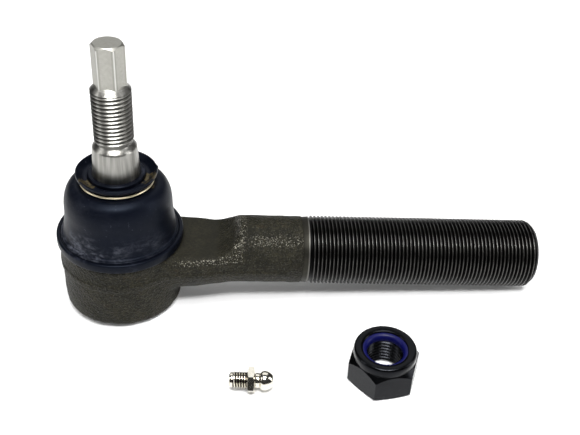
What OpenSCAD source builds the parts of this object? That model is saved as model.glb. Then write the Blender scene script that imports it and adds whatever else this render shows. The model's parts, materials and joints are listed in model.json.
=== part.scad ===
// Outer tie rod end for a heavy steering linkage.
// Millimetres. Origin: centre of the ball. +X runs along the shank, +Z up the stud.
// The lock nut and the grease fitting lie loose beside it, on the plane that the part
// comes to rest on: the rim of the socket and the tip of the shank.

/* [Shank] */
// Major diameter of the shank's thread
shank_thread_d = 27; // [22.5:0.1:28.5]
// Diameter of the plain shank between neck and thread
shank_d = 26.4; // [24:0.1:27]
// Distance from the ball's centre to the shank's tip
reach = 163.5; // [130:0.5:200]
// Length of the threaded part, chamfer included
shank_thread_len = 91.7; // [60:0.1:92]
// Chamfer at the shank's tip
tip_chamfer = 2; // [1:0.1:3]
// Half width of the neck where it leaves the socket
neck_root_r = 15.6; // [14.2:0.1:16.5]

/* [Socket] */
// Outer diameter of the socket at its top
socket_d = 45.8; // [44:0.1:55]
// Outer diameter of the socket just above its rim
socket_foot_d = 45; // [43.4:0.1:48]
// Height of the socket's top face above the ball's centre
socket_top = 5.9; // [5:0.1:6.5]
// Depth of the socket's rim below the ball's centre
socket_bottom = 21.9; // [21.5:0.1:24]
// Radius on the socket's lower edge
rim_round = 2.6; // [1:0.1:3]
// Height of the trimmed forging line below the ball's centre
flash_drop = 2.6; // [1:0.1:5]
// Width of the trimmed forging line
flash_w = 2.6; // [1.5:0.1:4]

/* [Ball joint] */
// Diameter of the ball
ball_d = 28; // [23:0.1:28.6]
// Diameter of the stud's waist above the ball
waist_d = 14.4; // [12:0.1:15]
// Swing of the stud to each side, in degrees
swing = 22; // [10:1:22]
// Wall between the ball and the socket's bore
shell_wall = 3.4; // [2.8:0.1:3.8]

/* [Stud] */
// Major diameter of the stud's thread
stud_thread_d = 14; // [11.5:0.1:14]
// Diameter at the top of the taper
taper_top_d = 15.6; // [15:0.1:16.4]
// Height of the taper's lower end above the ball's centre
taper_z0 = 27.5; // [26:0.1:29]
// Height of the taper's upper end above the ball's centre
taper_z1 = 47.6; // [45:0.1:50]
// Height of the shoulder above the thread
thread_top = 69.9; // [64:0.1:74]
// Height of the hexagon's end above the ball's centre
stud_top = 84.8; // [80:0.1:92]
// Width across flats of the hexagon on the stud's tip
tip_hex_af = 10; // [8:0.1:10.5]
// Turn of the stud's hexagon about its own axis, in degrees
tip_hex_turn = 57; // [0:1:60]

/* [Boot] */
// Largest diameter of the boot's dome
boot_d = 39.4; // [37:0.1:41]
// Diameter of the boot's lip
lip_d = 29.2; // [27:0.1:31]
// Height of the lip above the ball's centre
lip_z = 35.5; // [34.5:0.1:36.5]
// Wall of the rubber
boot_wall = 2; // [1.5:0.1:2.2]
// Thickness of the wire of the boot's top ring
wire_d = 0.9; // [0.8:0.1:1.5]
// Outer diameter of the ring round the boot's base
base_ring_d = 47.6; // [46.6:0.1:49]
// Height of the ring round the boot's base
base_ring_h = 3.6; // [3:0.1:4]

/* [Lock nut] */
// Width across flats of the lock nut
nut_af = 22.8; // [20:0.1:24]
// Height of the nut's hexagon
nut_hex_h = 10.9; // [9:0.1:12]
// Height of the whole nut, collar included
nut_h = 14.4; // [13:0.1:16]
// Outer diameter of the nut's collar
nut_collar_d = 22.4; // [20:0.1:23]
// Where the nut lies: along the shank and out to the side
nut_x = 97.6; // [60:0.1:140]
nut_y = -50.3; // [-70:0.1:-40]
// Turn of the nut about its own axis, in degrees
nut_turn = 38; // [0:1:60]

/* [Grease fitting] */
// Major diameter of the fitting's thread
fitting_thread_d = 6.35; // [5:0.05:7]
// Width across flats of the fitting's hexagon
fitting_af = 8.5; // [7.5:0.05:9]
// Overall length of the fitting
fitting_len = 15.6; // [14:0.1:17]
// Where the fitting lies: along the shank and out to the side
fitting_x = 42.5; // [20:0.1:60]
fitting_y = -53.4; // [-80:0.1:-45]
// Turn of the fitting as it lies, in degrees
fitting_turn = -5; // [-30:1:30]

/* [Hidden] */
$fn = 96;
eps = 0.01;
run_gap = 0.05;            // running fit, on the radius
part_gap = 0.02;           // between pieces of one body that bear on each other

shank_r = shank_d / 2;
thread_r = shank_thread_d / 2;
thread_x0 = reach - shank_thread_len;
tip_r = thread_r - tip_chamfer * 0.8;
socket_r = socket_d / 2;
foot_r = socket_foot_d / 2;
neck_in = socket_r - 4;                     // the neck starts inside the socket's wall
neck_end = min(socket_r * 2.05, thread_x0 - 3);   // and is as round as the shank from here on

ball_r = ball_d / 2;
seat_r = ball_r + 0.04;
waist_r = waist_d / 2;
bore_r = ball_r + shell_wall;               // the socket's bore, which holds both bearings
shoulder_z = socket_top + 2.4;              // the upper bearing stops here
land_z = socket_top + base_ring_h + 0.1;    // top of the land that carries the boot
mouth_r = land_z * tan(swing) + waist_r / cos(swing) + 0.5;
mouth_low_r = shoulder_z * tan(swing) + waist_r / cos(swing) + 0.3;
land_r = bore_r + 1.8;

plate_t = 2.6;
plate_r = bore_r + 1.1;
plate_z = -socket_bottom + 1.8;             // underside of the cover plate
plate_top = plate_z + plate_t;
curl_r = plate_r - 1.9;                     // inner edge of the rim rolled over the plate
boss_r = 5.2;
boss_h = 0.7;
grease_hole_r = fitting_thread_d / 2 + 0.03;

seat_z = -ball_r - 1.9;                     // underside of the lower bearing
washer_h = seat_z - plate_top;              // the dished washer fills this, loaded
washer_t = 0.9;

taper_r0 = taper_top_d / 2 + (taper_z1 - taper_z0) / 16;   // taper of 1 in 8
taper_r1 = taper_top_d / 2;
stud_r = stud_thread_d / 2;
bevel = 1.7;                                // on the end of the stud's thread

boot_r = boot_d / 2;
boot_foot = socket_top + 0.05;
ring_z = lip_z - 3.5;
neck_groove_r = lip_d / 2 - 2.2;
base_r = base_ring_d / 2 - 1.6;

// The plane the part comes to rest on: through the socket's rim and the shank's tip.
rest_x0 = foot_r - rim_round;
rest_tilt = atan((socket_bottom - thread_r) / (reach - tip_chamfer - rest_x0));

nut_thread_r = stud_r + 0.03;
nut_minor_r = stud_r - 0.6;
insert_z0 = nut_hex_h - 0.4;
insert_z1 = nut_h - 0.9;
insert_r = nut_collar_d / 2 - 1.3;

check_ball_r = 1.15;
fit_lead = 6.6;                             // threaded end of the fitting
fit_hex = 2.4;                              // thickness of its hexagon
fit_head_r = 3.5;
fit_nose_z = fitting_len - 1.4;             // the head rounds off from here to its tip
fit_ball_x = fitting_len - 1.9;             // where the check ball sits

module on_rest_plane(x, y) {
    translate([rest_x0, 0, -socket_bottom]) rotate([0, -rest_tilt, 0])
        translate([(x - rest_x0) / cos(rest_tilt), y, 0]) children();
}

module hexagon(af, h) { rotate(30) cylinder(h = h, r = af / sqrt(3), $fn = 6); }

// A hexagon whose corners are turned down to a cone at its top.
module chamfered_hex(af, h, edge_r) {
    intersection() {
        hexagon(af, h);
        union() {
            cylinder(h = h - 1.2, r = af);
            translate([0, 0, h - 1.2 - eps]) cylinder(h = 1.2 + eps, r1 = af / sqrt(3) + 0.05, r2 = edge_r);
        }
    }
}

// ---- forging: socket, neck and threaded shank in one piece

module socket_outside() {
    rotate_extrude() difference() {
        union() {
            polygon([[0, -socket_bottom + rim_round], [foot_r, -socket_bottom + rim_round],
                     [foot_r, -socket_bottom / 2], [socket_r, 0], [socket_r, socket_top - 1],
                     [socket_r - 1, socket_top], [land_r, socket_top], [land_r, land_z - 0.6],
                     [land_r - 0.6, land_z], [0, land_z]]);
            translate([0, -socket_bottom]) square([foot_r - rim_round, rim_round + eps]);
            translate([foot_r - rim_round, -socket_bottom + rim_round]) circle(r = rim_round);
            // trimmed forging line
            translate([0, -flash_drop - flash_w / 2]) square([socket_r + 0.3, flash_w]);
        }
        translate([-60, -60]) square([60, 120]);
    }
}

module socket_inside() {
    rotate_extrude() polygon([[0, -socket_bottom - 1], [curl_r, -socket_bottom - 1],
        [curl_r, plate_z - part_gap], [plate_r + part_gap, plate_z - part_gap],
        [plate_r + part_gap, plate_top + part_gap], [bore_r + run_gap, plate_top + part_gap],
        [bore_r + run_gap, shoulder_z], [mouth_low_r, shoulder_z], [mouth_r, land_z + 1],
        [0, land_z + 1]]);
}

// The neck narrows from the socket to the round shank.
module neck() {
    rotate([0, 90, 0]) rotate_extrude() polygon([[0, neck_in], [neck_root_r, neck_in],
        [neck_root_r, socket_r - 1], [shank_r, neck_end], [shank_r, thread_x0 - 2],
        [thread_r - 0.9, thread_x0], [thread_r - 0.9, thread_x0 + 1], [0, thread_x0 + 1]]);
}

// Level clearance round the base of the boot, with a rounded rise up to the shank.
module neck_clearance() {
    rise_r = 9;
    rotate_extrude() difference() {
        translate([0, socket_top - 1.2]) square([neck_end * 0.985, neck_root_r + 4]);
        difference() {
            translate([neck_end * 0.785, socket_top - 2]) square([40, rise_r + 1]);
            translate([neck_end * 0.785, socket_top - 1.2 + rise_r]) circle(r = rise_r);
        }
    }
}

module shank_thread() {
    rotate([0, 90, 0]) {
        translate([0, 0, thread_x0]) cylinder(h = shank_thread_len - tip_chamfer, r = thread_r);
        translate([0, 0, reach - tip_chamfer - eps])
            cylinder(h = tip_chamfer + eps, r1 = thread_r, r2 = tip_r);
    }
}

module shank_flash() {
    intersection() {
        translate([neck_in, -shank_r - 0.3, -flash_drop - flash_w / 2])
            cube([thread_x0 - neck_in - 6, 2 * shank_r + 0.6, flash_w]);
        rotate([0, 90, 0]) cylinder(h = thread_x0, r = shank_r + 0.25);
    }
}

module socket_housing() {
    color([0.235, 0.233, 0.2]) difference() {
        union() {
            socket_outside();
            difference() {
                union() { neck(); shank_flash(); }
                neck_clearance();
            }
            shank_thread();
        }
        socket_inside();
    }
}

// Pressed disc under the rolled rim, with a thickened middle tapped for the fitting.
module cover_plate() {
    color([0.3, 0.3, 0.28]) difference() {
        union() {
            translate([0, 0, plate_z]) cylinder(h = plate_t, r = plate_r);
            translate([0, 0, plate_top - eps]) cylinder(h = boss_h + eps, r1 = boss_r, r2 = boss_r - 0.5);
        }
        translate([0, 0, plate_z - 1]) cylinder(h = plate_t + boss_h + 2, r = grease_hole_r);
    }
}

// ---- bearings

module upper_bearing() {
    color([0.62, 0.6, 0.55]) rotate_extrude() difference() {
        translate([mouth_low_r - 0.2, -0.9]) square([bore_r - mouth_low_r + 0.2, shoulder_z + 0.9 - run_gap]);
        circle(r = seat_r);
    }
}

module lower_bearing() {
    color([0.62, 0.6, 0.55]) rotate_extrude() difference() {
        polygon([[2, seat_z], [bore_r - 1.5, seat_z], [bore_r, seat_z + 1.5], [bore_r, -1.6], [2, -1.6]]);
        circle(r = seat_r);
    }
}

// Dished spring washer between the cover plate and the lower bearing.
module preload_washer() {
    in_r = boss_r + 0.8;
    out_r = bore_r - 1.2;
    color([0.33, 0.35, 0.4]) rotate_extrude() polygon([
        [out_r - 1, plate_top + part_gap], [out_r, plate_top + part_gap + washer_t],
        [in_r + 1, seat_z - part_gap], [in_r, seat_z - part_gap - washer_t]]);
}

// ---- stud

module ball_stud() {
    color([0.77, 0.77, 0.75]) {
        difference() {
            union() {
                sphere(r = ball_r);
                rotate_extrude() polygon([[0, 0], [waist_r, 0], [waist_r, taper_z0 - 8],
                    [taper_r0 + 0.15, taper_z0 - 2], [taper_r0 + 0.15, taper_z0], [0, taper_z0]]);
                translate([0, 0, taper_z0 - eps])
                    cylinder(h = taper_z1 - 1.6 - taper_z0 + eps, r1 = taper_r0, r2 = taper_r1 + 0.1);
                translate([0, 0, taper_z1 - 1.6 - eps])
                    cylinder(h = 1.6, r1 = taper_r1 + 0.1, r2 = stud_r - 0.75);
                cylinder(h = taper_z1 + 2, r = stud_r - 0.75);
                translate([0, 0, taper_z1 + 0.6])
                    cylinder(h = thread_top - bevel - taper_z1 - 0.6, r = stud_r);
                translate([0, 0, thread_top - bevel - eps])
                    cylinder(h = bevel + eps, r1 = stud_r, r2 = stud_r - bevel);
            }
            // flat that the forging leaves under the ball
            translate([0, 0, -ball_r - 1]) cylinder(h = 1.7, r = ball_r);
        }
        rotate(tip_hex_turn + 30) translate([0, 0, thread_top - 1])
            chamfered_hex(tip_hex_af, stud_top - thread_top + 1, tip_hex_af / 2 - 0.3);
    }
}

// ---- boot and its rings

// The boot is a dome over the joint: a bead under the base ring, a narrow neck in the
// wire's groove, and a flared lip round the stud.
module dust_boot() {
    r0 = land_r + 0.05;
    w = boot_wall;
    color([0.085, 0.095, 0.125]) rotate_extrude() polygon([
        [r0, boot_foot], [base_r - 0.05, boot_foot], [base_r - 0.05, socket_top + base_ring_h + 0.1],
        [base_r + 0.1, socket_top + base_ring_h + 1.6], [boot_r + 1.1, socket_top + base_ring_h + 4],
        [boot_r + 0.1, ring_z - 12.5], [boot_r, ring_z - 9], [boot_r - 0.7, ring_z - 5.5],
        [boot_r - 2, ring_z - 2.6], [boot_r - 4, ring_z - 1.1], [neck_groove_r + 0.3, ring_z - 0.8],
        [neck_groove_r, ring_z], [neck_groove_r + 0.3, ring_z + 0.9], [lip_d / 2 - 0.3, lip_z - 0.9],
        [lip_d / 2, lip_z - 0.2], [lip_d / 2 - 0.4, lip_z], [lip_d / 2 - 1.2, lip_z - 0.5],
        [neck_groove_r - 0.8, ring_z + 1.4], [taper_r0 + 1.45, ring_z + 1.4],
        [taper_r0 + 1.35, ring_z + 1.1], [taper_r0 + 1.35, ring_z - 6.2], [boot_r - 4 - w, ring_z - 3.6],
        [boot_r - 2 - w, ring_z - 5.4], [boot_r - w, ring_z - 9.5], [boot_r + 0.1 - w, ring_z - 12.5],
        [boot_r + 0.9 - w, socket_top + base_ring_h + 4.2], [r0 + 0.1, socket_top + base_ring_h + 1.4],
        [r0, land_z - 0.6]]);
}

module boot_top_ring() {
    color([0.78, 0.63, 0.33]) translate([0, 0, ring_z])
        rotate_extrude() translate([neck_groove_r + wire_d / 2 + 0.3, 0]) circle(d = wire_d, $fn = 24);
}

module boot_base_ring() {
    z0 = socket_top + part_gap;
    z1 = z0 + base_ring_h;
    r = base_ring_d / 2;
    color([0.09, 0.1, 0.13]) rotate_extrude() polygon([[base_r, z0], [r - 0.5, z0],
        [r, z0 + 0.5], [r, z1 - 0.6], [r - 0.6, z1], [base_r, z1]]);
}

// Bush inside the boot's neck, which the stud turns in. Its bore follows the taper.
module boot_collar() {
    low = ring_z - 6;
    high = ring_z + 2.8;
    in_low = taper_r0 + 0.15 + run_gap;
    in_high = taper_r0 - (high - taper_z0) / 16 + run_gap + 0.15;
    out_r = taper_r0 + 1.3;
    color([0.06, 0.062, 0.07]) rotate_extrude() polygon([[in_low, low], [out_r, low],
        [out_r, high - 0.3], [out_r - 0.3, high], [in_high, high], [in_low, taper_z0]]);
}

// ---- lock nut, lying loose

module place_nut() { on_rest_plane(nut_x, nut_y) rotate(nut_turn) children(); }

module lock_nut() {
    r = nut_collar_d / 2;
    color([0.1, 0.105, 0.12]) place_nut() difference() {
        union() {
            intersection() {
                hexagon(nut_af, nut_hex_h);
                union() {
                    translate([0, 0, 0.9]) cylinder(h = nut_hex_h - 2, r = nut_af);
                    cylinder(h = 0.9 + eps, r1 = nut_af / 2 - 0.5, r2 = nut_af / sqrt(3) + 0.05);
                    translate([0, 0, nut_hex_h - 1.1 - eps])
                        cylinder(h = 1.1 + eps, r1 = nut_af / sqrt(3) + 0.05, r2 = nut_af / 2 - 0.2);
                }
            }
            rotate_extrude() polygon([[0, nut_hex_h - 1], [r, nut_hex_h - 1], [r, nut_h - 1.5],
                [r - 0.4, nut_h - 0.4], [r - 1, nut_h], [0, nut_h]]);
        }
        translate([0, 0, -1]) cylinder(h = nut_h + 2, r = nut_thread_r);
        translate([0, 0, -eps]) cylinder(h = 0.9, r1 = nut_thread_r + 0.9, r2 = nut_thread_r);
        translate([0, 0, insert_z0]) cylinder(h = insert_z1 - insert_z0 + part_gap, r = insert_r + part_gap);
        translate([0, 0, insert_z0]) cylinder(h = nut_h, r = insert_r - 1.9);
    }
}

module nut_insert() {
    color([0.1, 0.13, 0.42]) place_nut() difference() {
        translate([0, 0, insert_z0 + part_gap]) cylinder(h = insert_z1 - insert_z0 - part_gap, r = insert_r);
        translate([0, 0, insert_z0 - 1]) cylinder(h = nut_h, r = nut_minor_r);
    }
}

// ---- grease fitting, lying loose on its side

module place_fitting() {
    on_rest_plane(fitting_x, fitting_y) rotate(fitting_turn)
        translate([0, 0, fitting_af / 2]) rotate([0, 90, 0]) children();
}

module fitting_outside() {
    cylinder(h = 0.6 + eps, r1 = fitting_thread_d / 2 - 0.6, r2 = fitting_thread_d / 2);
    translate([0, 0, 0.6]) cylinder(h = fit_lead - 0.6, r = fitting_thread_d / 2);
    translate([0, 0, fit_lead - eps]) rotate(30) cylinder(h = fit_hex, r = fitting_af / sqrt(3), $fn = 6);
    translate([0, 0, fit_lead + fit_hex - 2 * eps]) cylinder(h = 0.9, r1 = 3.3, r2 = 2.65);
    translate([0, 0, fit_lead + fit_hex]) cylinder(h = 1.9, r = 2.65);
    translate([0, 0, fit_lead + fit_hex + 1.5]) cylinder(h = 0.7, r1 = 2.65, r2 = fit_head_r);
    translate([0, 0, fit_lead + fit_hex + 2.2 - eps]) cylinder(h = 1.3, r = fit_head_r);
    translate([0, 0, fit_lead + fit_hex + 3.5 - 2 * eps])
        cylinder(h = fit_nose_z - fit_lead - fit_hex - 3.5, r1 = fit_head_r, r2 = fit_head_r - 0.5);
    translate([0, 0, fit_nose_z - 3 * eps])
        cylinder(h = fitting_len - fit_nose_z, r1 = fit_head_r - 0.5, r2 = 2.1);
}

module fitting_body() {
    color([0.76, 0.76, 0.74]) place_fitting() difference() {
        fitting_outside();
        translate([0, 0, -1]) cylinder(h = fit_ball_x + 1, r = check_ball_r + 0.25);
        translate([0, 0, fit_ball_x - eps])
            cylinder(h = 1.1, r1 = check_ball_r + 0.25, r2 = 0.75);
        translate([0, 0, fit_ball_x]) cylinder(h = 5, r = 0.8);
    }
}

module fitting_check_ball() {
    color([0.8, 0.8, 0.8]) place_fitting()
        translate([0, 0, fit_ball_x - 0.05]) sphere(r = check_ball_r);
}

// Small closing spring, drawn as its close-wound rings.
module fitting_spring() {
    turns = 6;
    wire = 0.32;
    z0 = 2.2;
    z1 = fit_ball_x - 0.05 - check_ball_r - wire / 2 - 0.03;
    color([0.6, 0.6, 0.6]) place_fitting() {
        for (i = [0 : turns]) translate([0, 0, z0 + (z1 - z0) * i / turns]) rotate_extrude($fn = 32)
            translate([check_ball_r - wire / 2 - 0.05, 0]) circle(d = wire, $fn = 16);
        for (a = [0, 180]) rotate(a) translate([check_ball_r - wire / 2 - 0.05, 0, z0])
            cylinder(h = z1 - z0, d = wire * 0.7, $fn = 16);
    }
}

socket_housing();
cover_plate();
upper_bearing();
lower_bearing();
preload_washer();
ball_stud();
dust_boot();
boot_top_ring();
boot_base_ring();
boot_collar();
lock_nut();
nut_insert();
fitting_body();
fitting_check_ball();
fitting_spring();
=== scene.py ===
# %% [markdown]
# # An outer tie rod end
# This part joins a steering linkage to a wheel's knuckle. A long threaded shank screws
# into the linkage, a socket holds a steel ball, and the ball's stud stands up out of a
# rubber boot. A lock nut for the stud and a grease fitting come with it, lying loose.
# The engineering model is loaded first and stays as it is. Every visible piece is then
# built round it in the same frame, so nothing has to be fitted by eye.

# %% Load the frame
import json
import math

import bmesh
import bpy
import numpy as np
from mathutils import Matrix, Vector


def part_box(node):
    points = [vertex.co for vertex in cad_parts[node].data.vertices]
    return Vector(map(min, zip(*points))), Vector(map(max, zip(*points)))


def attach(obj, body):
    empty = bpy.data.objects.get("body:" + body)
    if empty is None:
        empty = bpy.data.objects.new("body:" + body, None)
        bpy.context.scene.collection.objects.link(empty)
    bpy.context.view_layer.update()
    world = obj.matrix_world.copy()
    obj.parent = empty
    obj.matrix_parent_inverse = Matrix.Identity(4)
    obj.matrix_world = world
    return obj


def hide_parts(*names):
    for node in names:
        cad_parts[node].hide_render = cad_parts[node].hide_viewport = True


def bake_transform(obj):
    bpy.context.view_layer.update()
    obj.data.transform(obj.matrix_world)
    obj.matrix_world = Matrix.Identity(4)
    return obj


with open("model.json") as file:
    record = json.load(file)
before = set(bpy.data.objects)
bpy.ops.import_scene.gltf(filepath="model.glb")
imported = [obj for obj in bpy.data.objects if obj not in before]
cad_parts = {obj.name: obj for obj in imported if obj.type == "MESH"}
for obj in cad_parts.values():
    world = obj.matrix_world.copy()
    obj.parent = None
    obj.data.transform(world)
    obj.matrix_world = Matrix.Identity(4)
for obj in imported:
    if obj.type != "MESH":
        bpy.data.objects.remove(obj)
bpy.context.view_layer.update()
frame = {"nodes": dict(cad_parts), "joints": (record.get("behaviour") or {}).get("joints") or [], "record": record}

# %% [markdown]
# ## Where the part rests
# The part lies on the rim of its socket and on the tip of its shank, so the table top is
# a slightly tilted plane in the part's own frame. The record gives the way up in the
# lock nut's joint, and the lock nut's mount says how high its thread sits above the
# table. Reading both keeps the table, the nut and the fitting exactly where the
# physics model has them.

# %% The table plane
MM = 0.001
joints = {joint["name"]: joint for joint in frame["joints"]}
mounts = {mount["name"]: mount for mount in frame["record"]["mounts"]}
table_up = np.array(joints["lock_nut_lift"]["axis"], float)
table_along = np.array([table_up[2], 0, -table_up[0]])
socket_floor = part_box("socket_housing")[0].z / MM
rim_reach = 19.9                      # the socket's flat rim ends this far from its axis
rim_point = np.array([rim_reach, 0, socket_floor])
print("table leans", round(math.degrees(math.atan2(-table_up[0], table_up[2])), 2), "degrees")


def stand(origin, across, up):
    """A function that carries points from a loose piece's own axes into the frame."""
    axes = np.array([across, np.cross(up, across), up], float)
    return lambda points: np.asarray(origin) + np.asarray(points) @ axes


# %% [markdown]
# ## From rows of points to a mesh
# Almost everything here was turned, drawn, threaded or moulded round an axis. One grid
# does for all of it: rows of points climb the axis and columns go round it, each point
# with its own radius. The last column repeats the first, and welding doubles closes the
# seam. That small waste buys true screw threads, because a thread's rows may climb one
# pitch per turn and still meet themselves.

# %% Grids and pieces
AROUND = 96


def grid_quads(rows, columns, first=0):
    """Quads of a grid of points that are numbered row by row."""
    number = first + np.arange(rows * columns).reshape(rows, columns)
    return np.stack([number[:-1, :-1], number[:-1, 1:], number[1:, 1:], number[1:, :-1]],
                    -1).reshape(-1, 4)


def turned(rows, start=0.0):
    """Points and quads of a turned skin. Each row is (radius, height), each of them a
    number or one value per column."""
    columns = max(np.size(value) for row in rows for value in row)
    columns = columns if columns > 1 else AROUND + 1
    radius = np.array([np.broadcast_to(row[0], columns) for row in rows], float)
    height = np.array([np.broadcast_to(row[1], columns) for row in rows], float)
    turn = start + np.linspace(0, 2 * np.pi, columns)
    points = np.stack([radius * np.cos(turn), radius * np.sin(turn), height], -1)
    return points.reshape(-1, 3), grid_quads(len(rows), columns)


def add_piece(name, points, quads, body, stands_for=(), finishes=(), which=None, sharp=40):
    """A welded mesh of points in millimetres that moves with a body."""
    mesh = bpy.data.meshes.new(name)
    mesh.from_pydata((np.asarray(points) * MM).tolist(), [], np.asarray(quads).tolist())
    for finish in finishes:
        mesh.materials.append(finish)
    if which is not None:
        mesh.polygons.foreach_set("material_index", np.asarray(which, np.int32))
    work = bmesh.new()
    work.from_mesh(mesh)
    bmesh.ops.remove_doubles(work, verts=work.verts, dist=2e-6)
    bmesh.ops.recalc_face_normals(work, faces=work.faces)
    work.to_mesh(mesh)
    work.free()
    mesh.shade_smooth()
    mesh.set_sharp_from_angle(angle=math.radians(sharp))
    piece = bpy.data.objects.new(name, mesh)
    bpy.context.scene.collection.objects.link(piece)
    if body:
        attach(piece, body)
    for node in stands_for:
        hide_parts(node)
    print(f"{name}: {len(mesh.vertices)} points, {len(mesh.polygons)} faces")
    return piece


# %% [markdown]
# ## Screw threads
# A thread is a groove of fixed outline that winds along a cylinder. Its outline repeats
# every pitch, so each row of the grid follows one point of the outline round the screw:
# the corners of crest and root stay crisp with few faces. A chamfer or a run-out is an
# envelope that the radius may not pass.

# %% The thread's outline
OUTLINE_AT = [0.00, 0.10, 0.18, 0.48, 0.54, 0.64, 0.70, 1.00]
OUTLINE_DEPTH = [1.00, 1.00, 0.90, 0.10, 0.00, 0.00, 0.10, 1.00]


def thread_rows(low, high, pitch, major, depth, limit=None, around=AROUND, inside=False):
    """Rows (radius, height) of a right-hand thread from height low to height high."""
    turn = np.linspace(0, 1, around + 1)
    steps = np.arange(-1, math.ceil((high - low) / pitch) + 1)
    marks = (steps[:, None] + np.array(OUTLINE_AT[:-1])[None, :]).ravel()
    marks = np.append(marks, steps[-1] + 1.0)
    rows = []
    for mark in marks:
        height = np.clip(low + pitch * (mark + turn), low, high)
        phase = ((height - low) / pitch - turn) % 1.0
        groove = np.interp(phase, OUTLINE_AT, OUTLINE_DEPTH)
        radius = major - depth * (1 - groove if inside else groove)
        if limit is not None:
            edge = np.interp(height, limit[0], limit[1])
            radius = np.maximum(radius, edge) if inside else np.minimum(radius, edge)
        rows.append((radius, height))
    return rows


def hexagon_radius(across_flats, around=AROUND):
    """Radius of a hexagon for each column, with a corner in the first column."""
    turn = np.linspace(0, 2 * np.pi, around + 1)
    return across_flats / 2 / np.cos((turn % (np.pi / 3)) - np.pi / 6)


# %% [markdown]
# ## Finishes
# A finish is a small program on the surface. Writing it as arithmetic keeps it readable:
# the class below stands for one output of a shader node, and adding or multiplying two
# of them adds the Math node that does it. Everything that varies goes to the colour, the
# roughness, the metallic share or the bump, which is all that a baked copy can hold.

# %% Shader arithmetic
class Wire:
    """One output of a node, on which sums can be written."""

    def __init__(self, finish, socket):
        self.finish, self.socket = finish, socket

    def maths(self, operation, first, second):
        return self.finish.node("Math", {"operation": operation}, {0: first, 1: second})

    def __add__(self, other): return self.maths("ADD", self, other)
    def __radd__(self, other): return self.maths("ADD", other, self)
    def __sub__(self, other): return self.maths("SUBTRACT", self, other)
    def __rsub__(self, other): return self.maths("SUBTRACT", other, self)
    def __mul__(self, other): return self.maths("MULTIPLY", self, other)
    def __rmul__(self, other): return self.maths("MULTIPLY", other, self)
    def __pow__(self, other): return self.maths("POWER", self, other)


class Finish:
    """A material on a Principled shader."""

    def __init__(self, name, **fixed):
        self.material = bpy.data.materials.new(name)
        self.material.use_nodes = True
        self.tree = self.material.node_tree
        self.shader = self.tree.nodes["Principled BSDF"]
        for key, value in fixed.items():
            self.shader.inputs[key.replace("_", " ")].default_value = value

    def node(self, kind, settings=None, sockets=None, out=0):
        """Adds a shader node: its type, its settings, then values or wires by socket."""
        node = self.tree.nodes.new("ShaderNode" + kind)
        for key, value in (settings or {}).items():
            setattr(node, key, value)
        for key, value in (sockets or {}).items():
            if isinstance(value, Wire):
                self.tree.links.new(value.socket, node.inputs[key])
            else:
                node.inputs[key].default_value = value
        return Wire(self, node.outputs[out])

    def feed(self, **wires):
        """Links wires to the shader's own sockets."""
        for key, value in wires.items():
            self.tree.links.new(value.socket, self.shader.inputs[key.replace("_", " ")])
        return self.material

    def place(self, stretch=(1, 1, 1)):
        """The point of the surface, in millimetres of the frame, stretched per axis."""
        here = self.node("TexCoord", out=3)
        size = tuple(s / MM for s in stretch)
        return self.node("VectorMath", {"operation": "MULTIPLY"}, {0: here, 1: size})

    def grain(self, size, detail=2.0, rough=0.5, at=None):
        """Cloudy noise with lumps of about that many millimetres, from 0 to 1."""
        return self.node("TexNoise", None, {
            "Vector": at or self.place(), "Scale": 1 / size, "Detail": detail,
            "Roughness": rough})

    def step(self, value, low, high):
        """A soft step from 0 at low to 1 at high."""
        return self.node("MapRange", {"interpolation_type": "SMOOTHSTEP"},
                         {"Value": value, "From Min": low, "From Max": high})

    def tint(self, mask, bare, covered):
        """Colour bare where mask is 0 and covered where it is 1."""
        bare = bare if isinstance(bare, Wire) else (*bare, 1)
        covered = covered if isinstance(covered, Wire) else (*covered, 1)
        return self.node("Mix", {"data_type": "RGBA"},
                         {0: mask, 6: bare, 7: covered}, out=2)

    def relief(self, height):
        """A bump whose height is in millimetres."""
        return self.node("Bump", None, {"Height": height, "Strength": 1.0, "Distance": MM})

    def parts_of(self, vector):
        """The three numbers of a vector."""
        return [self.node("SeparateXYZ", None, {0: vector}, out=i) for i in range(3)]

    def far_from(self, spot):
        """Distance in millimetres from a spot of the frame."""
        return self.node("VectorMath", {"operation": "DISTANCE"}, {0: self.place(), 1: spot}, out=1)


def ink(red, green, blue):
    """A colour given as on a screen, 0 to 255, turned into light for the shader."""
    return tuple(((c / 255 + 0.055) / 1.055) ** 2.4 if c > 10 else c / 3295
                 for c in (red, green, blue))
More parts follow.
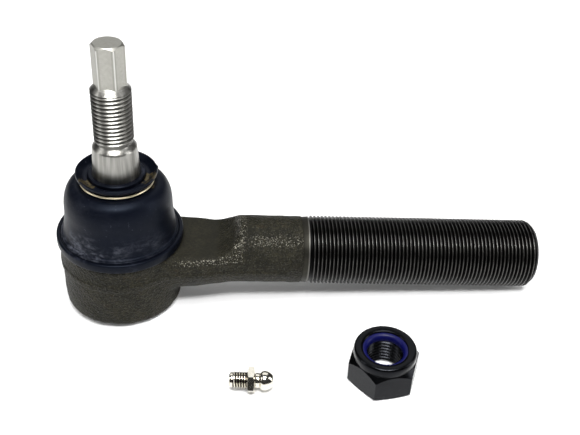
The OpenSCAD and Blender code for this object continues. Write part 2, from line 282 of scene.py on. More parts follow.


# %% [markdown]
# ### Forged steel
# The housing is forged, shot-blasted and left with a thin phosphate skin. Blasting leaves
# a field of small dimples, and the skin is a dark olive grey with browner clouds. Bright
# glints are painted into the colour where the lights catch the part: along the brow of the
# cut neck, up the rise behind it, and on the crown of the shank. These painted highlights
# also get a metallic share and a lower roughness. The cut floor itself is smoother. Masks
# by place say where, and a fine noise says how.

# %% Forged skin
def forged_skin():
    f = Finish("forged_skin", Specular_IOR_Level=0.13)
    x, y, z = f.parts_of(f.place())
    clouds = f.grain(9, 3, 0.6)
    pebbles = f.node("TexVoronoi", {"feature": "SMOOTH_F1"},
                     {"Vector": f.place(), "Scale": 1.15, "Smoothness": 0.35})
    fine = f.grain(0.5, 3, 0.65)
    out = (x * x + y * y) ** 0.5
    aside = (y * y) ** 0.5
    ledge = f.step(z, 4.2, 4.6) * (1 - f.step(z, 5.2, 6.0))
    ledge = ledge * f.step(x, 21, 23) * (1 - f.step(x, 36, 40))
    brow = f.step(z, 2.2, 3.4) * (1 - f.step(z, 4.9, 6.4))
    brow = brow * f.step(aside, 11, 12.6) * f.step(x, 20, 25)
    rise = f.step(out, 43.2, 45) * (1 - f.step(out, 46.8, 49))
    rise = rise * f.step(z, 4, 5.5) * f.step(x, 20, 30)
    crown = f.step(z, 8.0, 9.4) * (1 - f.step(z, 10.4, 12.4)) * f.step(x, 47, 52)
    # painted highlight: the zones where bright glints are painted, where the lights catch the neck's brow, the
    # rise and the shank's crown
    painted_glint_zones = 0.1 + 0.9 * f.step(brow * (1 - f.step(x, 40, 50)) + rise + 0.7 * crown, 0, 1)
    painted_glint = f.step(fine, 0.54, 0.66) * painted_glint_zones * (1 - 0.85 * ledge)
    colour = f.tint(f.step(clouds, 0.35, 0.7), ink(27, 26, 17), ink(42, 40, 29))
    colour = f.tint(f.step(f.grain(4, 4, 0.6), 0.56, 0.75) * 0.45, colour, ink(42, 32, 19))
    mottle = f.step(f.grain(1.1, 4, 0.7), 0.40, 0.60)
    colour = f.tint(mottle * 0.7, colour, ink(11, 11, 8))
    # painted glints: bright flecks in the colour stand for highlights
    colour = f.tint(painted_glint * 0.55, colour, ink(206, 202, 186))
    colour = f.tint(ledge * 0.5, colour, ink(30, 29, 23))
    rough = 0.50 + 0.12 * clouds - 0.26 * painted_glint
    height = (pebbles * 0.34 + fine * 0.22 + mottle * 0.05) * (1 - 0.85 * ledge) + clouds * 0.05
    return f.feed(Base_Color=colour, Roughness=rough, Metallic=0.05 + 0.8 * painted_glint,
                  Normal=f.relief(height))


# %% [markdown]
# ### Blackened thread
# The shank's thread is rolled after forging and blackened. Handling rubs the crests to a
# dark grey, while the flanks stay black. The distance from the shank's axis tells crest
# from root. The narrow turned band at its start has a painted highlight: a bright line
# along its end edge.

# %% Blackened thread
def blackened_thread():
    f = Finish("blackened_thread", Specular_IOR_Level=0.45)
    x, y, z = f.parts_of(f.place())
    out = (y * y + z * z) ** 0.5
    crest = f.step(out, 13.30, 13.47)
    scuff = f.grain(1.4, 4, 0.65, f.place((0.35, 1, 1)))
    colour = f.tint(f.grain(5, 3), ink(3, 3, 3), ink(7, 7, 7))
    colour = f.tint(crest * (0.35 + 0.65 * scuff), colour, ink(92, 91, 89))
    band = 1 - f.step(x, 72.3, 72.5)
    colour = f.tint(band, colour, f.tint(scuff, ink(34, 33, 29), ink(58, 57, 51)))
    # painted highlight: a bright line along the end edge of the turned band
    edge = f.step(x, 71.9, 72.15) * (1 - f.step(x, 72.45, 72.55))
    colour = f.tint(edge * 0.4, colour, ink(150, 149, 144))
    rough = 0.34 + 0.10 * scuff - 0.16 * crest + 0.10 * band
    return f.feed(Base_Color=colour, Roughness=rough, Metallic=0.95 - 0.03 * scuff,
                  Normal=f.relief(f.grain(0.35, 3) * 0.02))


# %% [markdown]
# ### Ground and rolled bare steel
# The stud is bare steel. Its taper is ground, so fine lines run round it and soft streaks
# run down it; the thread's roots are painted darker as shade; the hexagon is drawn and dull,
# with a painted highlight along each corner and a painted shade line beside it. The height
# up the stud picks between the three.

# %% Bare steel of the stud
def stud_steel():
    f = Finish("stud_steel", Metallic=1.0)
    x, y, z = f.parts_of(f.place())
    out = (x * x + y * y) ** 0.5
    round_lines = f.grain(1, 3, 0.6, f.place((0.15, 0.15, 9)))
    streaks = f.grain(1, 2.5, 0.55, f.place((0.55, 0.55, 0.012)))
    thread = f.step(z, 47.4, 48.0) * (1 - f.step(z, 67.6, 68.2))
    hexagon = f.step(z, 69.2, 70.2)
    # painted shade: the thread's roots darkened in colour
    root = thread * (1 - f.step(out, 6.25, 6.85))
    colour = f.tint(f.step(streaks, 0.3, 0.7), ink(120, 119, 115), ink(160, 159, 154))
    colour = f.tint(root * 0.8, colour, ink(70, 69, 66))
    drawn = f.tint(f.grain(1.2, 4, 0.7), ink(146, 145, 139), ink(172, 171, 164))
    colour = f.tint(hexagon, colour, drawn)
    # painted highlight along the hexagon's corners, with a painted shade line just inside them
    painted_corner_highlight = f.step(out, 5.56, 5.72) * hexagon * (1 - f.step(z, 83.4, 84.4))
    colour = f.tint(f.step(out, 5.30, 5.50) * hexagon * 0.30, colour, ink(92, 91, 86))
    colour = f.tint(painted_corner_highlight * 0.6, colour, ink(222, 222, 218))
    stain = f.step(f.grain(3.2, 4, 0.6), 0.60, 0.74) * (1 - thread)
    colour = f.tint(stain * 0.35, colour, ink(120, 110, 98))
    rough = 0.27 + 0.10 * streaks + 0.05 * round_lines + 0.10 * hexagon - 0.03 * thread
    height = round_lines * 0.006 * (1 - hexagon) + f.grain(0.5, 3) * 0.018 * hexagon
    return f.feed(Base_Color=colour, Roughness=rough, Normal=f.relief(height))


# %% [markdown]
# ### Rubber
# The boot is moulded chloroprene rubber: nearly black with a navy cast, satin, with a
# fine skin and a little dust and grease. Dust gathers low on the dome in broad pale
# smears, so it is two large noises cut soft, not a speckle. Grease lies in the dish of the
# lip, round three spots.

# %% Boot rubber
def boot_rubber():
    f = Finish("boot_rubber", Specular_IOR_Level=0.11, Specular_Tint=(0.62, 0.75, 1, 1))
    x, y, z = f.parts_of(f.place())
    out = (x * x + y * y) ** 0.5
    skin = f.grain(0.5, 3, 0.6)
    broad = f.grain(8, 3, 0.55)
    smears = f.grain(2.6, 4, 0.7, f.place((1, 1, 2.0)))
    low = 1 - f.step(z, 12.5, 21)
    side = 1 - f.step(x, -10, 9) * 0.8
    dust = f.step(broad, 0.36, 0.62) * f.step(smears, 0.36, 0.80) * (0.05 + 0.95 * low) * side
    specks = f.step(f.grain(0.9, 3, 0.6), 0.67, 0.75)
    spots = sum(1 - f.step(f.far_from(spot), inner, outer) for spot, inner, outer in (
        ((11.4, -2.6, 33.8), 3.0, 5.6), ((-9.6, -7.0, 33.8), 2.6, 4.8),
        ((4.5, 11.2, 33.8), 1.5, 3.5)))
    grease = f.step(f.grain(1.6, 4, 0.6) + 0.35 * spots, 0.72, 0.92) * spots
    colour = f.tint(f.grain(3, 3), ink(3, 5, 11), ink(7, 9, 18))
    colour = f.tint(dust * 0.55, colour, ink(116, 119, 130))
    colour = f.tint(specks * 0.20, colour, ink(120, 122, 132))
    colour = f.tint(grease * 0.85, colour, ink(68, 60, 40))
    rough = 0.36 + 0.12 * skin + 0.20 * dust - 0.12 * grease
    return f.feed(Base_Color=colour, Roughness=rough,
                  Normal=f.relief(skin * 0.03 + broad * 0.08 + grease * 0.15))


def ring_rubber():
    f = Finish("ring_rubber", Specular_IOR_Level=0.1, Specular_Tint=(0.62, 0.75, 1, 1))
    skin = f.grain(0.6, 3, 0.6)
    worn = f.step(f.grain(4, 4, 0.6), 0.55, 0.75)
    colour = f.tint(f.grain(5, 3), ink(3, 4, 9), ink(7, 9, 17))
    colour = f.tint(worn * 0.10, colour, ink(96, 100, 116))
    return f.feed(Base_Color=colour, Roughness=0.30 + 0.14 * skin + 0.12 * worn,
                  Normal=f.relief(skin * 0.02 + f.grain(2.5, 2) * 0.05))


# %% [markdown]
# ### Plated, blackened and moulded small parts
# The boot's wire is zinc plated and passivated to a pale gold. The grease fitting is
# nickel bright, the lock nut has a black satin oxide, and its locking ring is blue
# nylon. Each gets its own base and the small faults of its process: cloudy plating,
# rubbed corners, a slight moulding grain. The roots of the fitting's thread are painted
# dark as shade; they are found by their distance from the fitting's own axis.

# %% Small finishes
fitting_mount, head_along, fitting_len = mounts["fitting_head"], 11.85, 15.6
fitting_axis = np.array(fitting_mount["axis"], float)
fitting_foot = np.array(fitting_mount["pos_m"]) / MM - fitting_axis * head_along


def gold_wire():
    f = Finish("gold_wire")
    cloud = f.grain(1.6, 3, 0.6)
    colour = f.tint(cloud, ink(214, 200, 166), ink(232, 222, 194))
    return f.feed(Base_Color=colour, Roughness=0.26 + 0.14 * cloud, Metallic=0.95 + 0.05 * cloud,
                  Normal=f.relief(f.grain(0.3, 3) * 0.012))


def bright_plate():
    f = Finish("bright_plate", Metallic=1.0)
    from_foot = f.node("VectorMath", {"operation": "SUBTRACT"}, {0: f.place(), 1: fitting_foot})
    along = f.node("VectorMath", {"operation": "DOT_PRODUCT"},
                   {0: from_foot, 1: fitting_axis}, out=1)
    square = f.node("VectorMath", {"operation": "CROSS_PRODUCT"}, {0: from_foot, 1: fitting_axis})
    off_axis = f.node("VectorMath", {"operation": "LENGTH"}, {0: square}, out=1)
    # painted shade: the roots of the fitting's thread darkened in colour
    root = 1 - f.step(off_axis, 2.82, 3.08)
    root = root * f.step(along, 1.1, 1.3) * (1 - f.step(along, 6.2, 6.5))
    cloud = f.grain(1.3, 3, 0.6)
    colour = f.tint(cloud, ink(196, 192, 180), ink(226, 222, 211))
    soot = f.step(f.grain(0.8, 3, 0.6), 0.60, 0.72)
    colour = f.tint(soot * 0.35, colour, ink(120, 112, 98))
    colour = f.tint(root * 0.9, colour, ink(58, 50, 40))
    return f.feed(Base_Color=colour, Roughness=0.09 + 0.08 * cloud + 0.10 * soot,
                  Normal=f.relief(f.grain(0.4, 3) * 0.008))


def black_oxide():
    f = Finish("black_oxide", Specular_IOR_Level=0.3)
    fine = f.grain(0.35, 3, 0.6)
    cloud = f.grain(4, 3, 0.6)
    rub = f.step(f.grain(1.1, 4, 0.65), 0.60, 0.74)
    colour = f.tint(cloud, ink(17, 18, 20), ink(27, 28, 31))
    colour = f.tint(rub * 0.18, colour, ink(90, 90, 92))
    return f.feed(Base_Color=colour, Roughness=0.15 + 0.10 * cloud + 0.05 * fine,
                  Metallic=0.92 + 0.05 * rub, Normal=f.relief(fine * 0.016))


def blue_nylon():
    f = Finish("blue_nylon", Specular_IOR_Level=0.18)
    swirl = f.grain(2.2, 3, 0.6)
    colour = f.tint(swirl, ink(4, 5, 46), ink(8, 11, 78))
    return f.feed(Base_Color=colour, Roughness=0.34 + 0.12 * swirl,
                  Normal=f.relief(f.grain(0.4, 3) * 0.02))


def spring_steel(name, dark, light, rough):
    f = Finish(name, Metallic=0.9)
    cloud = f.grain(2, 3, 0.6)
    return f.feed(Base_Color=f.tint(cloud, dark, light), Roughness=rough + 0.12 * cloud,
                  Normal=f.relief(f.grain(0.3, 3) * 0.01))


def bearing_plastic():
    f = Finish("bearing_plastic")
    swirl = f.grain(3, 3, 0.6)
    return f.feed(Base_Color=f.tint(swirl, ink(160, 154, 140), ink(186, 180, 166)),
                  Roughness=0.42 + 0.12 * swirl, Normal=f.relief(f.grain(0.5, 3) * 0.02))


finish = {
    "forged": forged_skin(), "thread": blackened_thread(), "stud": stud_steel(),
    "boot": boot_rubber(), "ring": ring_rubber(), "gold": gold_wire(),
    "plate": bright_plate(), "black": black_oxide(), "nylon": blue_nylon(),
    "bearing": bearing_plastic(),
    "spring": spring_steel("spring_steel", ink(70, 74, 82), ink(104, 108, 116), 0.30),
    "pressed": spring_steel("pressed_steel", ink(70, 69, 62), ink(96, 94, 84), 0.42),
}
print("finishes:", ", ".join(sorted(finish)))

# %% [markdown]
# ## The forging
# Socket, neck and shank are one forging, and its shapes run into each other: a round
# socket, a neck that swells out of it, a level clearance cut into the neck's top, and
# the trimmed line where the two dies met. A distance field says this best. Each simple
# shape is a distance, joins and cuts are smooth minima and maxima, and the skin is where
# the field is zero.

# %% Distance shapes
def corner(first, second, radius):
    """What lies in both shapes, with its outer corner rounded."""
    a, b = first + radius, second + radius
    return np.minimum(np.maximum(a, b), 0) + np.hypot(np.maximum(a, 0), np.maximum(b, 0)) - radius


def fillet(first, second, radius):
    """What lies in either shape, with its inner corner filled."""
    return -corner(-first, -second, radius)


def ease(value, low, high):
    t = np.clip((value - low) / (high - low), 0, 1)
    return t * t * (3 - 2 * t)


socket_rim_z, socket_top_z, land_top_z = -21.9, 5.9, 9.6
neck_start_x, neck_end_x, forging_end_x, thread_start_x = 21.9, 46.9, 69.9, 72.7
neck_r, shank_r, land_r, bore_r = 15.6, 13.2, 19.2, 17.45
ledge_z, ledge_out, ledge_rise = 4.7, 36.6, 8.8
rim_round, top_round, ledge_round = 2.6, 1.0, 2.0
seat_r, seat_low, seat_high, curl_r = 18.52, -20.12, -17.48, 16.6
mouth_r, mouth_z, mouth_slope = 11.6, 8.3, 0.4


def lumps(x, y, z):
    """Slight unevenness of a forged skin, in millimetres."""
    total = 0
    for k, (a, b, c, s) in enumerate([(0.61, 0.37, 0.53, 1.0), (-0.42, 0.71, 0.35, 0.8),
                                      (1.13, -0.87, 0.95, 0.5), (0.9, 1.3, -1.2, 0.45)]):
        total = total + s * np.sin(a * x + b * y + c * z + 1.7 * k)
    return 0.045 * total


def forging(x, y, z):
    """Distance to the forging's skin, less than zero inside the steel."""
    out = np.hypot(x, y)
    off_shank = np.hypot(y, z)
    wall = out - np.interp(z, [socket_rim_z, -11, 0], [22.5, 22.6, 22.9])
    socket = corner(corner(wall, socket_rim_z - z, rim_round), z - socket_top_z, top_round)
    neck = off_shank - (neck_r - (neck_r - shank_r) * ease(x, neck_start_x, neck_end_x))
    centre_z = ledge_z + ledge_rise
    cut = np.where(out < ledge_out, z - ledge_z,
                   np.where(z < centre_z, ledge_rise - np.hypot(out - ledge_out, z - centre_z),
                            ledge_out + ledge_rise - out))
    neck = corner(neck, cut, ledge_round)
    neck = np.maximum(neck, -x)
    body = fillet(socket, neck, 2.5)
    body = corner(body, x - forging_end_x, 0.45)
    trimmed = ease(z, -4.3, -3.7) * (1 - ease(z, -1.6, -1.0)) * (1 - ease(x, 62, 66))
    body = body - 0.3 * trimmed - lumps(x, y, z) * (1 - ease(x, 66, 69))
    land = corner(out - land_r, np.abs(z - land_top_z / 2) - land_top_z / 2, 0.6)
    body = np.minimum(body, land)
    hollow = np.minimum.reduce([
        np.maximum(np.maximum(out - bore_r, z - mouth_z), seat_high - z),
        np.maximum(np.maximum(out - seat_r, z - seat_high), seat_low - z),
        np.maximum(out - curl_r, z - seat_low),
        np.maximum(out - mouth_r - mouth_slope * (z - mouth_z), mouth_z - z)])
    return corner(body, -hollow, 0.35)


# %% [markdown]
# The skin is found with surface nets: every cell of a fine grid that the skin passes
# through gets one point, and every grid edge that crosses the skin gets one quad. The
# points are then moved onto the exact skin along the field's slope.

# %% Surface nets
def skin_of(shape, low, high, step):
    """Points and quads of the zero skin of a distance field."""
    axes = [np.arange(a, b + step, step) for a, b in zip(low, high)]
    field = shape(*np.meshgrid(*axes, indexing="ij"))
    total, count, faces = np.zeros(field.shape + (3,)), np.zeros(field.shape), []
    for axis in range(3):
        size = field.shape[axis]
        a = np.take(field, np.arange(size - 1), axis)
        b = np.take(field, np.arange(1, size), axis)
        cell = np.argwhere((a < 0) != (b < 0))
        here, there = a[tuple(cell.T)], b[tuple(cell.T)]
        point = cell.astype(float)
        point[:, axis] += here / (here - there)
        u, v = np.eye(3, dtype=int)[(axis + 1) % 3], np.eye(3, dtype=int)[(axis + 2) % 3]
        ring = [cell, cell - u, cell - u - v, cell - v]
        for near in ring:
            np.add.at(total, tuple(near.T), point)
            np.add.at(count, tuple(near.T), 1)
        faces += [(ring if inner else ring[::-1], (here < 0) == inner) for inner in (True, False)]
    used = np.argwhere(count > 0)
    number = np.full(field.shape, -1)
    number[tuple(used.T)] = np.arange(len(used))
    points = np.array(low) + step * total[tuple(used.T)] / count[tuple(used.T)][:, None]
    quads = np.concatenate([np.stack([number[tuple(near[keep].T)] for near in ring], -1)
                            for ring, keep in faces])
    nudge = 0.05
    for _ in range(3):
        value = shape(*points.T)
        slope = np.stack([(shape(*(points + nudge * e).T) - shape(*(points - nudge * e).T))
                          / (2 * nudge) for e in np.eye(3)], -1)
        move = -slope * (value / np.maximum((slope ** 2).sum(1), 0.2))[:, None]
        points = points + np.clip(move, -step / 2, step / 2)
    return points, quads


skin_step = 0.45
skin_points, skin_quads = skin_of(forging, (-24, -24, -23), (forging_end_x + 1.5, 24, 14.5),
                                  skin_step)
print("forging skin:", len(skin_points), "points")

# %% [markdown]
# The thread of the shank is its own grid, M27 with a pitch of 1.5, and both go into one
# mesh, because they are one piece of steel. The grid starts a little inside the
# forging's end with the narrow turned band that the thread runs out into, and a groove
# parts the band from the first full turn. The stud and the nut have the same pitch.

# %% Housing
reach, tip_chamfer, tip_r = 163.5, 2.0, 11.9
fine_pitch, crest_r, groove_r = 1.5, 13.5, 12.65
shank_around = 144
shank_limit = ([thread_start_x, 73.3, 73.6, reach - tip_chamfer, reach],
               [groove_r, groove_r, crest_r, crest_r, tip_r])
shank_rows = [(0.0, 69.0), (12.6, 69.0), (12.75, 69.9), (12.95, 70.15), (13.1, 72.2),
              (13.2, 72.45), (12.9, 72.6), (groove_r, thread_start_x)]
shank_rows += thread_rows(thread_start_x, reach, fine_pitch, crest_r, 0.9, shank_limit,
                          shank_around)
shank_rows += [(8.0, reach), (3.0, reach), (0.0, reach)]
shank_points, shank_quads = turned(shank_rows)
shank_points = shank_points[:, [2, 0, 1]]
add_piece(
    "forged_housing", np.concatenate([skin_points, shank_points]),
    np.concatenate([skin_quads, shank_quads + len(skin_points)]), "housing",
    ["socket_housing"], [finish["forged"], finish["thread"]],
    np.repeat([0, 1], [len(skin_quads), len(shank_quads)]), sharp=50)

# %% [markdown]
# ## The cover plate
# A pressed disc closes the socket from below, held by the rolled rim. Its middle is
# thicker and tapped for the grease fitting, a quarter inch with 28 threads to the inch.
# It is one closed loop of rows: out along the underside, up the edge, back over the top
# and down through the thread.

# %% Cover plate
plate_low, plate_high, boss_high = -20.1, -17.5, -16.8
tap_r, tap_depth, tap_pitch = 3.2, 0.5, 25.4 / 28
plate_r, edge, dish = 18.5, 0.3, 0.35
plate_rows = [(3.6, plate_low), (6.4, plate_low), (7.0, plate_low + dish),
              (14.2, plate_low + dish), (14.8, plate_low), (plate_r - edge, plate_low),
              (plate_r, plate_low + edge), (plate_r, plate_high - edge),
              (plate_r - edge, plate_high), (5.4, plate_high), (4.9, boss_high),
              (3.5, boss_high)]
tap = thread_rows(plate_low + 0.5, boss_high - 0.3, tap_pitch, tap_r, tap_depth, inside=True)
plate_rows += tap[::-1] + [(3.6, plate_low)]
add_piece("cover_disc", *turned(plate_rows), "housing", ["cover_plate"],
          [finish["pressed"]], sharp=30)

# %% [markdown]
# ## The ball stud
# One steel forging, turned and ground: a ball, a waist, a taper of one in eight that
# seats in the steering arm, a shoulder, an M14 thread and a hexagon to hold it by. The
# hexagon's end is turned to a cone. Where a cone cuts a flat it leaves a curved edge,
# and here each column finds its own height on the cone, so that edge is exact.

# %% Ball stud
ball_r, stud_r, stud_tip_r, stud_hex_turn = 14, 7.0, 4.72, math.radians(57)
stud_thread_z, stud_hex_z, stud_top_z = 47.6, 68.2, 84.8
flat = hexagon_radius(10.0)
ball_rows = [(0, -13.3), (4.2, -13.3)] + [
    (ball_r * math.cos(a), ball_r * math.sin(a)) for a in np.linspace(-1.24, 1.02, 25)]
stud_rows = ball_rows + [(7.2, 12.4), (7.2, 19.5), (7.6, 21), (9.0, 25), (9.2, 25.6), (9.2, 27.5),
                         (9.05, 27.6), (8.5, 36.5), (7.93, 45.5), (7.84, 45.9), (7.6, 46.25),
                         (6.75, 47.1), (6.3, 47.45), (6.22, stud_thread_z)]
stud_limit = ([stud_thread_z, 48.2, 49.1, stud_hex_z], [6.2, 6.25, stud_r, stud_r])
stud_rows += thread_rows(stud_thread_z, stud_hex_z, fine_pitch, stud_r, 0.78, stud_limit)
meet = stud_hex_z + (stud_r - flat) * 1.03
chamfer_z = stud_top_z - (flat - stud_tip_r) / 0.95
stud_rows += [(stud_r - 0.02, stud_hex_z), (flat, meet), (flat, (meet + chamfer_z) / 2),
              (flat, chamfer_z), (stud_tip_r, stud_top_z), (2.4, stud_top_z), (0, stud_top_z)]
add_piece("ball_and_stud", *turned(stud_rows, stud_hex_turn), "stud", ["ball_stud"],
          [finish["stud"]], sharp=28)

# %% [markdown]
# ## The boot and its rings
# The boot is a rubber dome. Its outline is drawn with a few corner points and rounded by
# cutting corners again and again, which gives the soft curves of moulded rubber and
# never leaves the outline's hull, so the boot stays clear of the stud. The dome is a
# little out of round where nothing holds it, and the mould left a small nub on the lip.

# %% Boot
def cut_corners(outline, times):
    """A closed outline whose corners are cut again and again until it is smooth."""
    outline = np.asarray(outline, float)
    for _ in range(times):
        ahead = np.roll(outline, -1, 0)
        outline = np.stack([0.75 * outline + 0.25 * ahead, 0.25 * outline + 0.75 * ahead],
                           1).reshape(-1, 2)
    return outline


boot_outline = [
    (19.25, 5.95), (22.1, 5.95), (22.15, 9.3), (22.1, 9.62), (21.85, 9.7), (21.8, 10.15),
    (21.55, 10.4), (21.2, 10.45), (21.0, 11.0), (20.75, 12.8), (20.4, 14.8), (20.05, 17.2),
    (19.8, 19.5), (19.75, 23.0), (19.3, 26.4), (17.9, 29.5), (15.8, 30.9), (14.6, 31.15),
    (13.5, 31.0), (12.6, 31.1),
    (12.4, 31.9), (12.6, 32.7), (13.6, 33.3), (14.6, 34.2), (14.7, 35.0), (14.62, 35.52),
    (14.3, 35.6), (13.9, 35.3), (13.0, 34.3), (12.1, 33.5), (11.2, 33.35), (10.5, 33.5),
    (10.42, 32.8), (10.42, 26.0), (10.9, 25.8), (13.0, 28.2), (15.6, 27.6), (17.2, 25.6),
    (17.8, 22.5), (17.9, 19.0), (18.6, 14.0), (19.4, 11.0), (19.25, 9.0)]
boot_line = cut_corners(boot_outline, 3)
boot_turn = np.linspace(0, 2 * np.pi, AROUND + 1)
nub_height, nub_turn, nub_spread = 0.45, math.radians(12), 0.06
moulding_nub = nub_height * np.exp(-((boot_turn - nub_turn) / nub_spread) ** 2)
dome_foot, dome_height, dome_inside = 11, 20, 15
boot_rows = []
for r, z in np.vstack([boot_line, boot_line[:1]]):
    climb = min(max((z - dome_foot) / dome_height, 0), 1)
    loose = math.sin(math.pi * climb) * (1 if r > dome_inside else 0)
    sway = loose * (0.16 * np.sin(2 * boot_turn + 0.6) + 0.10 * np.sin(3 * boot_turn + 2.1))
    if z > 34.2 and r > 13.9:
        sway = sway + moulding_nub
    boot_rows.append((r + sway, z + 0.5 * sway))
boot = add_piece("rubber_boot", *turned(boot_rows), None, ["dust_boot"], [finish["boot"]],
                 sharp=80)
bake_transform(boot)

# %% [markdown]
# A band of rubber holds the foot of the boot down on the socket, and a split ring of
# round wire holds its neck. The band is an outline with rounded corners. The wire is a
# tube that stops just short of itself.

# %% Rings
band_outline = [(22.2, 5.94), (22.2, 9.5), (22.8, 9.5), (23.3, 9.5), (23.7, 9.2), (23.8, 8.7),
                (23.85, 7.6), (23.8, 6.5), (23.65, 6.1), (23.2, 5.94), (22.6, 5.94)]
band_line = cut_corners(band_outline, 2)
add_piece("boot_band", *turned(np.vstack([band_line, band_line[:1]])), "housing",
          ["boot_base_ring"], [finish["ring"]], sharp=50)

wire_r, wire_z, wire_out = 0.45, 32.0, 13.15
wire_turn = np.radians(np.linspace(97, 453, 181))
wire_side = np.linspace(0, 2 * np.pi, 17)
wire_points = []
for n, a in enumerate(wire_turn):
    ends = min(n, len(wire_turn) - 1 - n)
    r = wire_r * (0 if ends == 0 else 0.8 if ends == 1 else 1)
    across = wire_out + r * np.cos(wire_side)
    wire_points.append(np.stack([across * np.cos(a), across * np.sin(a),
                                 wire_z + r * np.sin(wire_side)], -1))
add_piece("split_wire_ring", np.array(wire_points).reshape(-1, 3),
          grid_quads(len(wire_turn), len(wire_side)), "boot_top", ["boot_top_ring"],
          [finish["gold"]], sharp=60)

# %% [markdown]
# ## The lock nut
# A hexagon nut with a round collar that holds a nylon ring. Both ends of the hexagon are
# turned to cones, like the stud's. The grid runs up the outside, over the collar's lip,
# into the seat of the nylon, down the thread and out at the bottom.

# %% Lock nut
nut_high, nut_hex_high, nut_turn = 14.4, 10.9, math.radians(8)
nut_mount, nut_thread_mid = mounts["nut_thread"], 5.695
nut_foot = np.array(nut_mount["pos_m"]) / MM - table_up * nut_thread_mid
on_table = stand(nut_foot, table_along, table_up)
nut_foot_r, collar_r, seat_z = 10.9, 11.2, 10.5
side = hexagon_radius(22.8)
low_z = np.maximum((side - nut_foot_r) * 0.45, 0.05)
high_z = nut_hex_high - np.maximum((side - collar_r) * 1.05, 0.02)
nut_rows = [(7.75, 0.0), (nut_foot_r, 0.0), (side, low_z), (side, (low_z + high_z) / 2),
            (side, high_z), (11.15, nut_hex_high + 0.02), (collar_r, 11.5), (collar_r, 13.0),
            (11.12, 13.55), (10.9, 14.0), (10.56, 14.3), (10.15, nut_high), (9.2, 14.36),
            (8.6, 14.2), (8.15, 14.0), (7.97, 13.75), (7.95, 13.52), (9.92, 13.52),
            (9.92, seat_z), (7.4, seat_z)]
nut_rows += thread_rows(0.9, 10.4, fine_pitch, 7.03, 0.80, inside=True)[::-1]
nut_rows += [(7.3, 0.45), (7.75, 0.0)]
nut_points, nut_quads = turned(nut_rows, nut_turn)
add_piece("lock_nut_body", on_table(nut_points), nut_quads, "nut", ["lock_nut"],
          [finish["black"]], sharp=30)

nylon_rows = [(9.85, 10.56), (9.85, 13.4), (8.6, 13.45), (7.6, 13.4), (7.0, 13.15), (6.6, 12.7),
              (6.42, 12.0), (6.42, 10.95), (6.7, 10.56), (9.85, 10.56)]
nylon_points, nylon_quads = turned(nylon_rows, nut_turn)
add_piece("nylon_ring", on_table(nylon_points), nylon_quads, "nut", ["nut_insert"],
          [finish["nylon"]], sharp=35)

# %% [markdown]
# ## The grease fitting
# Turned from bar: a short thread, a hexagon, a narrow neck and the ball-shaped head that
# a grease gun clips on to, with a small ball that closes its mouth. It lies on a flat of
# its hexagon, so its own axis runs along the table.

# %% Grease fitting
lying = stand(fitting_foot, -table_up, fitting_axis)
across_flats, fitting_around, pipe_r = 8.5, 72, 3.17
key = hexagon_radius(across_flats, fitting_around)
key_chamfer = (key - across_flats / 2) * 0.5
near_z, far_z = 6.6 + key_chamfer, 9.0 - key_chamfer
fitting_limit = ([0, 0.3, 1.2, 1.5, 5.9, 6.5], [2.3, 2.62, 2.7, pipe_r, pipe_r, 2.75])
fitting_rows = [(1.45, 3.0), (1.4, 0.25), (1.6, 0.0), (2.4, 0.0)]
fitting_rows += thread_rows(0.0, 6.4, tap_pitch, pipe_r, 0.52, fitting_limit, fitting_around)
fitting_rows += [(2.7, 6.55), (4.1, 6.6), (key, near_z), (key, far_z), (4.1, 9.0), (3.3, 9.08),
                 (2.8, 9.4), (2.62, 9.9), (2.62, 10.5), (2.8, 10.85), (3.15, 11.15), (3.42, 11.6),
                 (3.52, 12.1), (3.52, 12.6), (3.42, 13.1), (3.2, 13.7), (2.86, 14.4), (2.5, 14.95),
                 (2.2, 15.3), (1.9, 15.5), (1.6, fitting_len), (1.1, fitting_len), (0.85, 15.45),
                 (0.8, 15.0), (0.8, 14.8), (1.3, 13.9), (1.38, 13.6), (1.4, 6.0), (1.45, 3.0)]
fitting_points, fitting_quads = turned(fitting_rows, math.radians(30))
add_piece("grease_fitting_body", lying(fitting_points), fitting_quads, "fitting",
          ["fitting_body"], [finish["plate"]], sharp=32)

# %% [markdown]
# ## Pieces kept from the engineering model
# The bearings, the dished washer, the collar inside the boot, the check ball and its
# spring are right as they are and mostly hidden. They keep their shapes and get finishes.

# %% Finishes on kept pieces
kept = {"upper_bearing": "bearing", "lower_bearing": "bearing", "preload_washer": "spring",
        "boot_collar": "ring", "fitting_check_ball": "plate", "fitting_spring": "spring"}
for node, name in kept.items():
    mesh = frame["nodes"][node].data
    mesh.materials.clear()
    mesh.materials.append(finish[name])
print("kept:", ", ".join(kept))

# %% [markdown]
# ## The studio
# A white table under a soft light overhead and a large sheet behind. Two smaller lights
# in front and above draw the bright line along the shank, and a strip at each side finds
# the edges. The surroundings are nearly black, so dark steel stays dark. The table gives
# off a little light of its own, faint near the part and strong far away, which keeps its
# far side white in low views.

# %% Table
def table_white():
    f = Finish("table_white", Roughness=0.6, Specular_IOR_Level=0.2, Emission_Strength=1.0)
    tone = f.tint(f.grain(60, 2), (0.86, 0.86, 0.86), (0.9, 0.9, 0.9))
    glow = f.tint(f.step(f.far_from((70, 0, 0)), 350, 900), (0.1, 0.1, 0.1), (0.9, 0.9, 0.9))
    return f.feed(Base_Color=tone, Emission_Color=glow)


spread = 2500.0
table_points = [rim_point + spread * (u * table_along + np.array([0, v, 0]))
                for u, v in ((-1, -1), (1, -1), (1, 1), (-1, 1))]
table = add_piece("table", table_points, [[0, 1, 2, 3]], None, (), [table_white()])


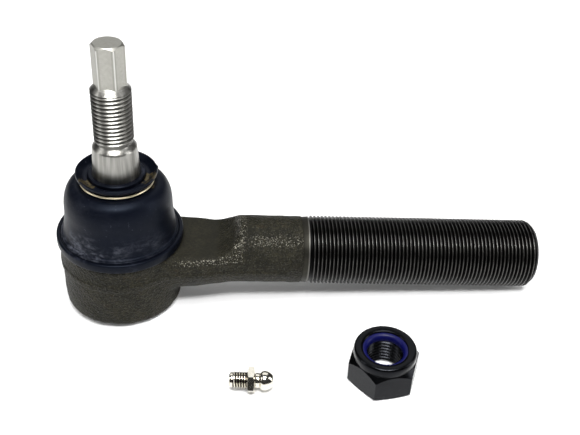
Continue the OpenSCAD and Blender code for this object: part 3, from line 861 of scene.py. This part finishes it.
# %% Lights
def softbox(name, aim, azimuth, elevation, distance, width, depth, power):
    """A square light that looks at a point. Azimuth 0 is in front, 90 at the right."""
    a, e = math.radians(azimuth), math.radians(elevation)
    way = Vector((math.sin(a) * math.cos(e), -math.cos(a) * math.cos(e), math.sin(e)))
    light = bpy.data.lights.new(name, "AREA")
    light.shape, light.size, light.size_y, light.energy = "RECTANGLE", width, depth, power
    lamp = bpy.data.objects.new(name, light)
    lamp.location = Vector(aim) + way * distance
    lamp.rotation_euler = way.to_track_quat("Z", "Y").to_euler()
    bpy.context.scene.collection.objects.link(lamp)


middle = (0.07, 0.0, 0.0)
softbox("overhead", middle, 0, 80, 1.0, 0.7, 0.35, 6.6)
softbox("back_sheet", middle, 180, 48, 1.3, 1.5, 0.9, 5.8)
softbox("front_left", middle, -20, 60, 0.9, 0.22, 0.16, 4.2)
softbox("front_right", middle, 9, 62, 0.9, 0.16, 0.12, 3.6)
softbox("right_strip", middle, 80, 25, 0.8, 0.25, 0.6, 2.5)
softbox("left_strip", middle, -80, 25, 0.8, 0.25, 0.6, 1.5)
surroundings = 0.045
world = bpy.data.worlds.new("studio")
world.use_nodes = True
world.node_tree.nodes["Background"].inputs["Color"].default_value = (*[surroundings] * 3, 1)
bpy.context.scene.world = world
bpy.context.scene.view_settings.view_transform = "Standard"

# %% [markdown]
# ## The camera
# It stands in front of the part and above it and looks down by about 37 degrees, with a
# short telephoto lens. A camera in Blender looks along its own minus Z, so its three
# axes are set from the way it looks and a small roll.

# %% Camera
camera_at, camera_aim = (0.03706, -0.23415, 0.19048), (0.06234, -0.020, 0.03049)
camera_roll, focal_length, sensor = -5.26, 47.18, 36
look = (Vector(camera_aim) - Vector(camera_at)).normalized()
level = look.cross(Vector((0, 0, 1))).normalized()
right = Matrix.Rotation(math.radians(camera_roll), 3, look) @ level
camera_data = bpy.data.cameras.new("camera")
camera_data.lens, camera_data.sensor_width = focal_length, sensor
camera_data.clip_start, camera_data.dof.use_dof = 0.01, False
camera = bpy.data.objects.new("camera", camera_data)
axes = Matrix((right, right.cross(look), -look)).transposed().to_4x4()
camera.matrix_world = Matrix.Translation(camera_at) @ axes
bpy.context.scene.collection.objects.link(camera)
bpy.context.scene.camera = camera
